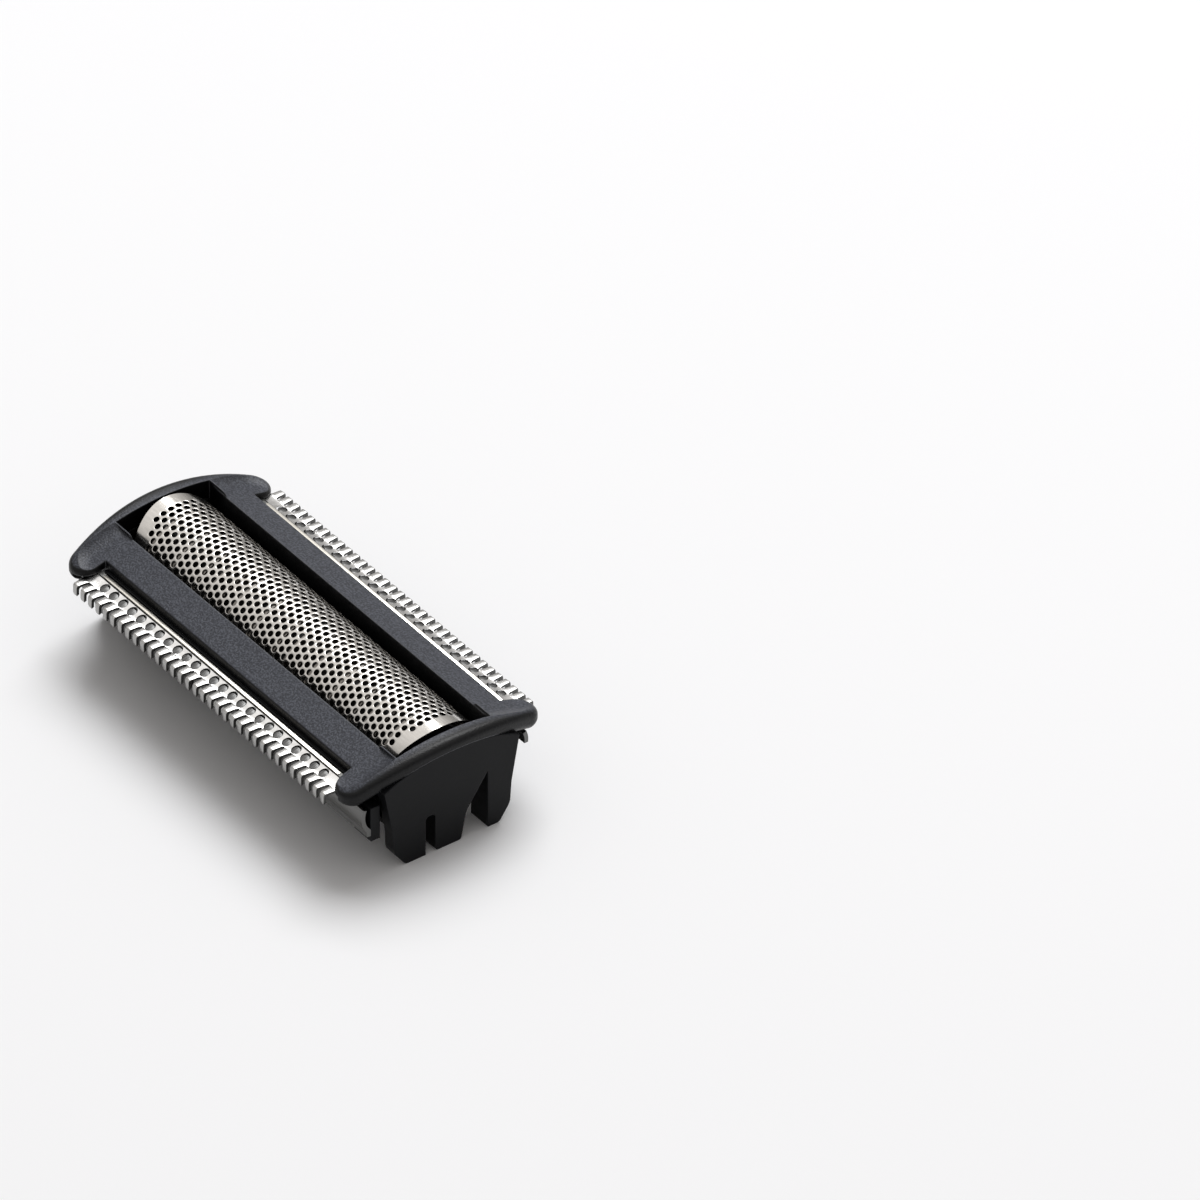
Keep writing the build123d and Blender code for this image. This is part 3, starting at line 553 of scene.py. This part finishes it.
for node, side in (("comb_front", -1), ("comb_rear", 1)):
    comb = bmesh.new()
    tooth = loft(comb, [
        cross_ring(half, skin, under) for skin, under, half in zip(tooth_skin, tooth_under, tooth_halves)])
    round_edges(comb, tooth, tooth_bevel)
    bmesh.ops.recalc_face_normals(comb, faces=comb.faces[:])
    # The side walls of each tooth, turned along the row, get the dark tone: a painted shade.
    finish_faces([face for face in comb.faces if abs(face.normal.x) > shade_facing], comb_slot_shade)
    # The outer faces of the hooks get the darker grey: a painted shade.
    finish_faces([face for face in comb.faces if face.normal.y > shade_facing], comb_hook_shade)
    repeat_along_x(comb, row_places(tooth_count, tooth_pitch))
    plate = bmesh.new()
    cell = pierced_cell(plate, (leaf_window,), window_pitch / 2, (plate_y[1] - plate_y[0]) / 2)
    bmesh.ops.translate(plate, verts=cell, vec=(0, (plate_y[0] + plate_y[1]) / 2, 0))
    repeat_along_x(plate, window_places)
    bmesh.ops.remove_doubles(plate, verts=plate.verts[:], dist=plate_weld)
    lower = bmesh.ops.extrude_face_region(plate, geom=plate.faces[:], use_keep_orig=True)["geom"]
    bmesh.ops.translate(plate, verts=verts_in(lower), vec=(0, 0, -plate_sheet))
    for vert in plate.verts:
        vert.co.z += comb_top(vert.co.y)
    finish_faces(plate.faces, comb_plate)
    add_mesh(comb, plate)
    # The root bar gets the dark tone: a painted shade in the groove under the rail.
    finish_faces(bar(comb, (-root_half, root_half), root), comb_slot_shade)
    for x_ends in ((-flange_half, -tab_room), (tab_room, flange_half)):
        bar(comb, x_ends, flange)
    plain_end = [(y, comb_top(y)) for y in plain_end_y]
    plain_end += [(y, comb_top(y) - plate_sheet) for y in reversed(plain_end_y)]
    window_end = window_count / 2 * window_pitch
    for x_ends in ((-root_half, -window_end), (window_end, root_half)):
        finish_faces(bar(comb, x_ends, plain_end), comb_plate)
    hem = bar(comb, (-hem_half, hem_half), box_section(hem_y, (root_z, root_z + hem_height)))
    # The hem gets the nearly white tone: a painted highlight.
    finish_faces(hem, hem_bead_highlight)
    round_edges(comb, hem, tooth_bevel)
    to_side(comb, side)
    folded = finished_piece(node + "_folded", comb, comb_light_and_shade_tones, smooth_limit)
    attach(folded, "head")
    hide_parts(node)

# Foil: thin etched steel sheet, arched over the cutter and hung on pegs inside the frame.
# Its staggered round holes have softly drawn rims, and the rounded ends are left bare.
foil_low, foil_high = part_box("foil")
foil_radius = foil_high.y
foil_axis_z = foil_high.z - foil_radius
foil_sheet = 0.08 * MM
foil_end_radius = 8.8 * MM
foil_end_x = foil_high.x - foil_end_radius
foil_end_cuts = 28
foil_weld = 0.01 * MM
foil_smooth_limit = math.radians(35)
column_pitch = 0.70 * MM
row_pitch = 0.85 * MM
row_stagger = 0.25
hole_columns = 56
hole_rows = 14
hole_radius = 0.305 * MM
rim_radius = 0.332 * MM
rim_drop = 0.012 * MM
bare_margin = 1.25 * MM
quarter = math.pi / 2 * foil_radius
half_skirt = quarter + foil_axis_z - foil_low.z
half_cells = math.ceil(half_skirt / row_pitch) + 1
plain_columns = math.ceil((foil_high.x - hole_columns / 2 * column_pitch) / column_pitch)


def foil_turn(across):
    """The angle round the arch of a point of the flat sheet, with its sides hanging straight."""
    return max(-math.pi / 2, min(math.pi / 2, across / foil_radius))


def end_inset(x, across):
    """How far a point of the flat sheet lies inside the rounded end of the foil."""
    y = foil_radius * math.sin(foil_turn(across))
    return foil_end_radius - math.hypot(max(abs(x) - foil_end_x, 0), y)


def round_hole(angle):
    return Vector((math.cos(angle) * hole_radius, math.sin(angle) * hole_radius, -rim_drop))


def drawn_rim(angle):
    return Vector((math.cos(angle) * rim_radius, math.sin(angle) * rim_radius, 0))


def cut_away(mesh, point, normal):
    """Cuts a mesh by a plane and takes off what lies outside it."""
    bmesh.ops.bisect_plane(mesh, geom=all_of(mesh), plane_co=point, plane_no=normal, clear_outer=True)


sheet = bmesh.new()
for column, x in enumerate(row_places(hole_columns + 2 * plain_columns, column_pitch)):
    shift = row_stagger if column % 2 else -row_stagger
    strip = bmesh.new()
    for row in range(-half_cells, half_cells):
        across = (row + 0.5 + shift) * row_pitch
        if -hole_rows / 2 <= row < hole_rows / 2 and end_inset(x, across) > bare_margin:
            cell = pierced_cell(strip, (round_hole, drawn_rim), column_pitch / 2, row_pitch / 2)
        else:
            cell = bmesh.ops.create_grid(strip, x_segments=2, y_segments=2, size=1.0)["verts"]
            bmesh.ops.scale(strip, verts=cell, vec=(column_pitch / 2, row_pitch / 2, 1))
        bmesh.ops.translate(strip, verts=cell, vec=(x, across, 0))
    add_mesh(sheet, strip)
bmesh.ops.remove_doubles(sheet, verts=sheet.verts[:], dist=foil_weld)
for vert in sheet.verts:
    radius = foil_radius + vert.co.z
    turn = foil_turn(vert.co.y)
    below = max(abs(vert.co.y) - quarter, 0)
    vert.co.y = radius * math.sin(turn)
    vert.co.z = foil_axis_z + radius * math.cos(turn) - below
cut_away(sheet, (0, 0, foil_low.z), (0, 0, -1))
reach = math.asin(foil_radius / foil_end_radius)
for side in (-1, 1):
    for cut in range(foil_end_cuts + 1):
        angle = -reach + 2 * reach * cut / foil_end_cuts
        normal = Vector((side * math.cos(angle), math.sin(angle), 0))
        cut_away(sheet, Vector((side * foil_end_x, 0, 0)) + normal * foil_end_radius, normal)
inner = bmesh.ops.extrude_face_region(sheet, geom=sheet.faces[:], use_keep_orig=True)["geom"]
for vert in verts_in(inner):
    outwards = Vector((0, vert.co.y, max(vert.co.z - foil_axis_z, 0))).normalized()
    vert.co -= outwards * foil_sheet
foil_steel = steel(
    "foil_steel", light=(0.66, 0.64, 0.61), dark=(0.46, 0.447, 0.425),
    rough=(0.12, 0.24), stretch=(900, 4000, 4000), depth=0.10)
foil = finished_piece("foil_etched", sheet, [foil_steel], foil_smooth_limit)
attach(foil, "head")
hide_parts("foil")

# Top frame: the upper moulding of charcoal plastic, with a fine grain on its rails and wings.
# Its walls and the outer rims of the wings are painted nearly black, as shade, and its rounded edges are
# painted lighter, as a highlight.
# It snaps over the chassis and holds the foil and the combs down.
dress("top_frame", moulded_plastic(
    "charcoal_grain", shaded_wall=(0.0025, 0.0027, 0.0033), body=(0.030, 0.0325, 0.042),
    peak=(0.084, 0.090, 0.110), edge=(0.11, 0.114, 0.126),
    rough=(0.27, 0.38), scale=5500, depth=0.60, specular=0.20))

# Table: a plain white top that the head stands on, a hair below the legs.
# It fills the view and takes the shadow, and from below it is clear, so that the underside shows.
table_half = 3.0
table_gap = 0.02 * MM
top = bmesh.new()
bmesh.ops.create_grid(top, x_segments=1, y_segments=1, size=table_half)
bmesh.ops.translate(top, verts=top.verts[:], vec=(0, 0, -table_gap))
floor_mesh = bpy.data.meshes.new("floor")
top.to_mesh(floor_mesh)
top.free()
white = bpy.data.materials.new("white_table")
white.use_nodes = True
white_tree = white.node_tree
white_shader = white_tree.nodes["Principled BSDF"]
white_shader.inputs["Base Color"].default_value = (0.93, 0.93, 0.94, 1)
white_shader.inputs["Roughness"].default_value = 0.9
white_shader.inputs["Specular IOR Level"].default_value = 0.1
white_clear = add_node(white_tree, "BsdfTransparent")
white_side = add_node(white_tree, "NewGeometry")
white_mix = add_node(white_tree, "MixShader")
link_all(white_tree, (
    (white_side.outputs["Backfacing"], white_mix.inputs["Fac"]),
    (white_shader.outputs["BSDF"], white_mix.inputs[1]),
    (white_clear.outputs["BSDF"], white_mix.inputs[2]),
    (white_mix.outputs["Shader"], white_tree.nodes["Material Output"].inputs["Surface"]),
))
floor_mesh.materials.append(white)
floor = bpy.data.objects.new("floor", floor_mesh)
bpy.context.scene.collection.objects.link(floor)

# Light: one large soft panel behind the head and above it, and a weak white room.
# The room is bright overhead and dim near the ground, which gives the steel its dark and light bands.
room_fill = 0.37
room_low = 0.20
room_high = 1.5
panel_size = 1.0
panel_watts = 19.4
panel_way = Vector((-0.36, 0.48, 1.0))
panel_distance = 1.5
world = bpy.data.worlds.new("studio")
bpy.context.scene.world = world
world.use_nodes = True
room = world.node_tree
background = room.nodes["Background"]
background.inputs["Color"].default_value = (1.0, 0.975, 0.95, 1)
path = add_node(room, "LightPath")
mirrored = add_node(room, "Math", operation="MAXIMUM")
direction = add_node(room, "TexCoord")
height = add_node(room, "SeparateXYZ")
overhead = add_node(room, "MapRange", {"To Min": room_low, "To Max": room_high})
fill_or_mirror = add_node(room, "Mix", {"A": room_fill})
white_or_room = add_node(room, "Mix", {"B": 1.0})
link_all(room, (
    (path.outputs["Is Glossy Ray"], mirrored.inputs[0]),
    (path.outputs["Is Transmission Ray"], mirrored.inputs[1]),
    (direction.outputs["Generated"], height.inputs["Vector"]),
    (height.outputs["Z"], overhead.inputs["Value"]),
    (mirrored.outputs["Value"], fill_or_mirror.inputs["Factor"]),
    (overhead.outputs["Result"], fill_or_mirror.inputs["B"]),
    (path.outputs["Is Camera Ray"], white_or_room.inputs["Factor"]),
    (fill_or_mirror.outputs["Result"], white_or_room.inputs["A"]),
    (white_or_room.outputs["Result"], background.inputs["Strength"]),
))
panel = bpy.data.lights.new("panel", "AREA")
panel.size = panel_size
panel.energy = panel_watts
panel.color = (0.985, 0.992, 1.0)
panel_holder = bpy.data.objects.new("panel", panel)
bpy.context.scene.collection.objects.link(panel_holder)
panel_holder.location = panel_way.normalized() * panel_distance
panel_holder.visible_camera = False
panel_holder.rotation_mode = "QUATERNION"
panel_holder.rotation_quaternion = panel_way.to_track_quat("Z", "Y")

# Camera: a very long lens above the right end of the head, so that its edges stay nearly parallel.
# The head stands left of the middle of the frame and a little below it.
frame_width = 107.5 * MM
azimuth = math.radians(53.7)
elevation = math.radians(37.8)
head_middle = Vector((0, 0, 10.8 * MM))
aim_right = 26.635 * MM
aim_up = 1.97 * MM
camera = bpy.data.cameras.new("camera")
camera.lens = 1400
camera.sensor_width = 36
camera.clip_start = 0.1
camera.clip_end = 30
distance = frame_width * camera.lens / camera.sensor_width
level = math.cos(elevation)
back = Vector((math.sin(azimuth) * level, -math.cos(azimuth) * level, math.sin(elevation)))
right = Vector((math.cos(azimuth), math.sin(azimuth), 0))
up = back.cross(right)
aim = head_middle + right * aim_right + up * aim_up
facing = Matrix((right, up, back)).transposed().to_4x4()
viewer = bpy.data.objects.new("camera", camera)
bpy.context.scene.collection.objects.link(viewer)
viewer.matrix_world = Matrix.Translation(aim + back * distance) @ facing
bpy.context.scene.camera = viewer
bpy.context.scene.view_settings.view_transform = "Standard"
